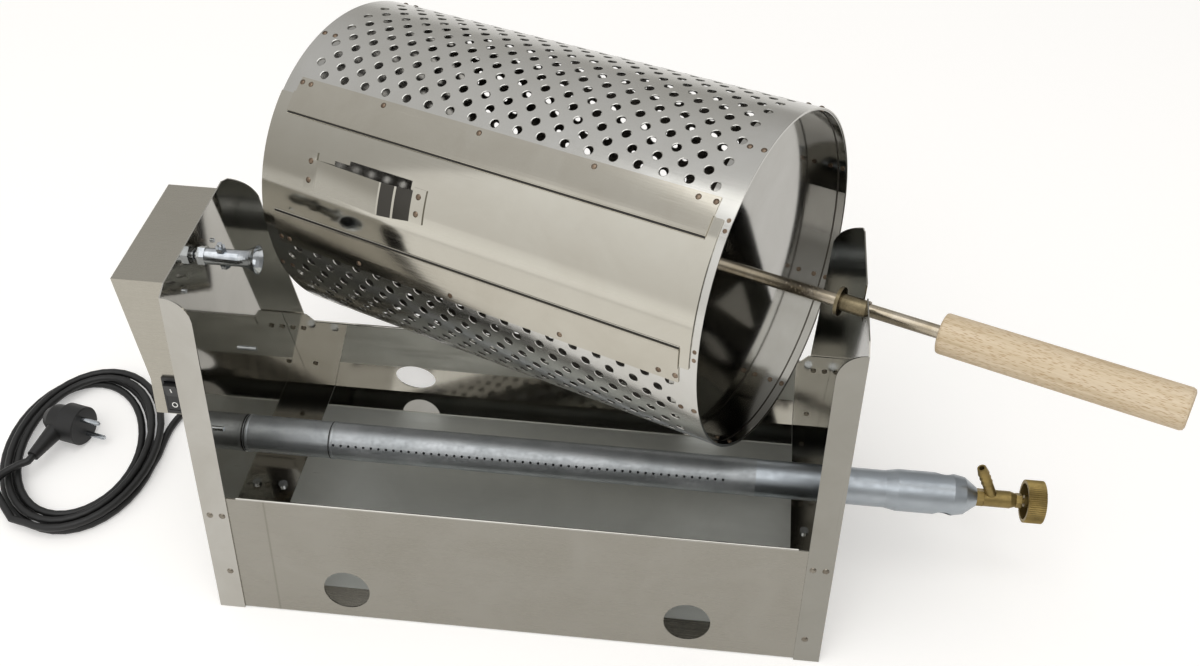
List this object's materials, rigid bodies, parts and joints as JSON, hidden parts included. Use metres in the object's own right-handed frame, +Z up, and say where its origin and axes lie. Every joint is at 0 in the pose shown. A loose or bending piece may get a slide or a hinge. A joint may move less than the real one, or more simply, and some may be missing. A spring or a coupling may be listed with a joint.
{
  "type": "chestnut roasting machine",
  "caption": "Table chestnut roaster: sheet metal frame, gas burner with valve, geared motor in a side box, and a drum with sliding door and wooden grip on a shaft that hangs in a notch.",
  "frame": {"origin": "middle of the base plate's underside, on the table", "axes": "+X along the frame from the motor box to the gas valve, +Y from the front panel to the back, +Z up"},
  "size_m": [0.9707, 0.4284, 0.403],
  "materials": {
    "satin_steel": "satin stainless sheet",
    "polished_steel": "mirror-polished stainless sheet",
    "shaft_steel": "drawn stainless bar, tinted brown by heat",
    "rivet_steel": "stainless rivets, tinted by heat",
    "zinc_steel": "zinc-plated steel",
    "burner_steel": "galvanised tube, darkened by heat",
    "brass": "turned brass",
    "beech": "turned beech, unfinished",
    "black_plastic": "moulded black plastic",
    "cord_jacket": "black PVC jacket",
    "white_print": "white marks",
    "terminal_plastic": "moulded pale plastic",
    "lead_jacket": "blue PVC jacket"
  },
  "bodies": {
    "frame": {"left_side_panel": "polished_steel", "right_side_panel": "polished_steel", "front_panel": "satin_steel", "back_panel": "polished_steel", "base_plate": "satin_steel", "frame_rivets": "zinc_steel", "base_screws": "zinc_steel", "motor_box": "satin_steel", "box_screws": "zinc_steel", "gearbox": "zinc_steel", "motor_can": "zinc_steel", "motor_screws": "zinc_steel", "terminal_block": "terminal_plastic", "motor_leads": "lead_jacket", "switch_body": "black_plastic", "cord_gland": "black_plastic", "cord": "cord_jacket", "cord_coil": "cord_jacket", "cord_tail": "cord_jacket", "plug_body": "black_plastic", "plug_pins": "zinc_steel", "burner_tube": "burner_steel", "burner_cap": "zinc_steel", "burner_screw": "zinc_steel", "mixer_tube": "burner_steel", "gas_jet": "brass", "valve_body": "brass", "packing_nut": "brass"},
    "needle": {"valve_needle": "brass"},
    "knob": {"valve_spindle": "brass", "valve_knob": "brass"},
    "rocker": {"switch_rocker": "black_plastic", "switch_marks": "white_print"},
    "drive": {"drive_shaft": "zinc_steel", "drive_nut": "zinc_steel", "drive_socket": "zinc_steel", "cross_bolt": "zinc_steel"},
    "bush": {"bush_sleeve": "polished_steel", "bush_flange": "polished_steel"},
    "grip": {"handle_grip": "beech"},
    "drum": {"drum_shell": "satin_steel", "disc_left": "polished_steel", "disc_right": "polished_steel", "hoop_left": "polished_steel", "hoop_right": "polished_steel", "drum_shaft": "shaft_steel", "rail_upper": "satin_steel", "rail_lower": "satin_steel", "rail_rivets": "rivet_steel", "rim_rivets": "rivet_steel"},
    "door": {"door_panel": "satin_steel", "door_pull": "satin_steel", "pull_rivets": "rivet_steel"}
  },
  "joints": [
    {"name": "drum_lift", "type": "slide", "parent": "frame", "child": "bush", "axis": [0, 0, 1], "range_m": [0, 0.2]},
    {"name": "drum_slide", "type": "slide", "parent": "bush", "child": "grip", "axis": [0.9113, -0.4057, 0.0698], "range_m": [-0.0145, 0]},
    {"name": "drum_spin", "type": "hinge", "parent": "grip", "child": "drum", "pos_m": [0.25, -0.0085, 0.277], "axis": [0.9113, -0.4057, 0.0698], "continuous": true},
    {"name": "door_slide", "type": "slide", "parent": "drum", "child": "door", "axis": [0.9113, -0.4057, 0.0698], "range_m": [0, 0.3]},
    {"name": "drive_spin", "type": "hinge", "parent": "frame", "child": "drive", "pos_m": [-0.25, -0.0085, 0.277], "axis": [1, 0, 0], "continuous": true},
    {"name": "switch_rock", "type": "hinge", "parent": "frame", "child": "rocker", "pos_m": [-0.258, -0.08061, 0.1995], "axis": [1, 0, 0], "range_deg": [-18, 0]},
    {"name": "valve_travel", "type": "slide", "parent": "frame", "child": "needle", "axis": [1, 0, 0], "range_m": [0, 0.00155]},
    {"name": "valve_turn", "type": "hinge", "parent": "needle", "child": "knob", "pos_m": [0.411, -0.0095, 0.081], "axis": [1, 0, 0], "range_deg": [0, 540]}
  ],
  "couplings": [
    {"joint": "valve_travel", "follows": "valve_turn", "m_per_rad": 0.00015915}
  ]
}
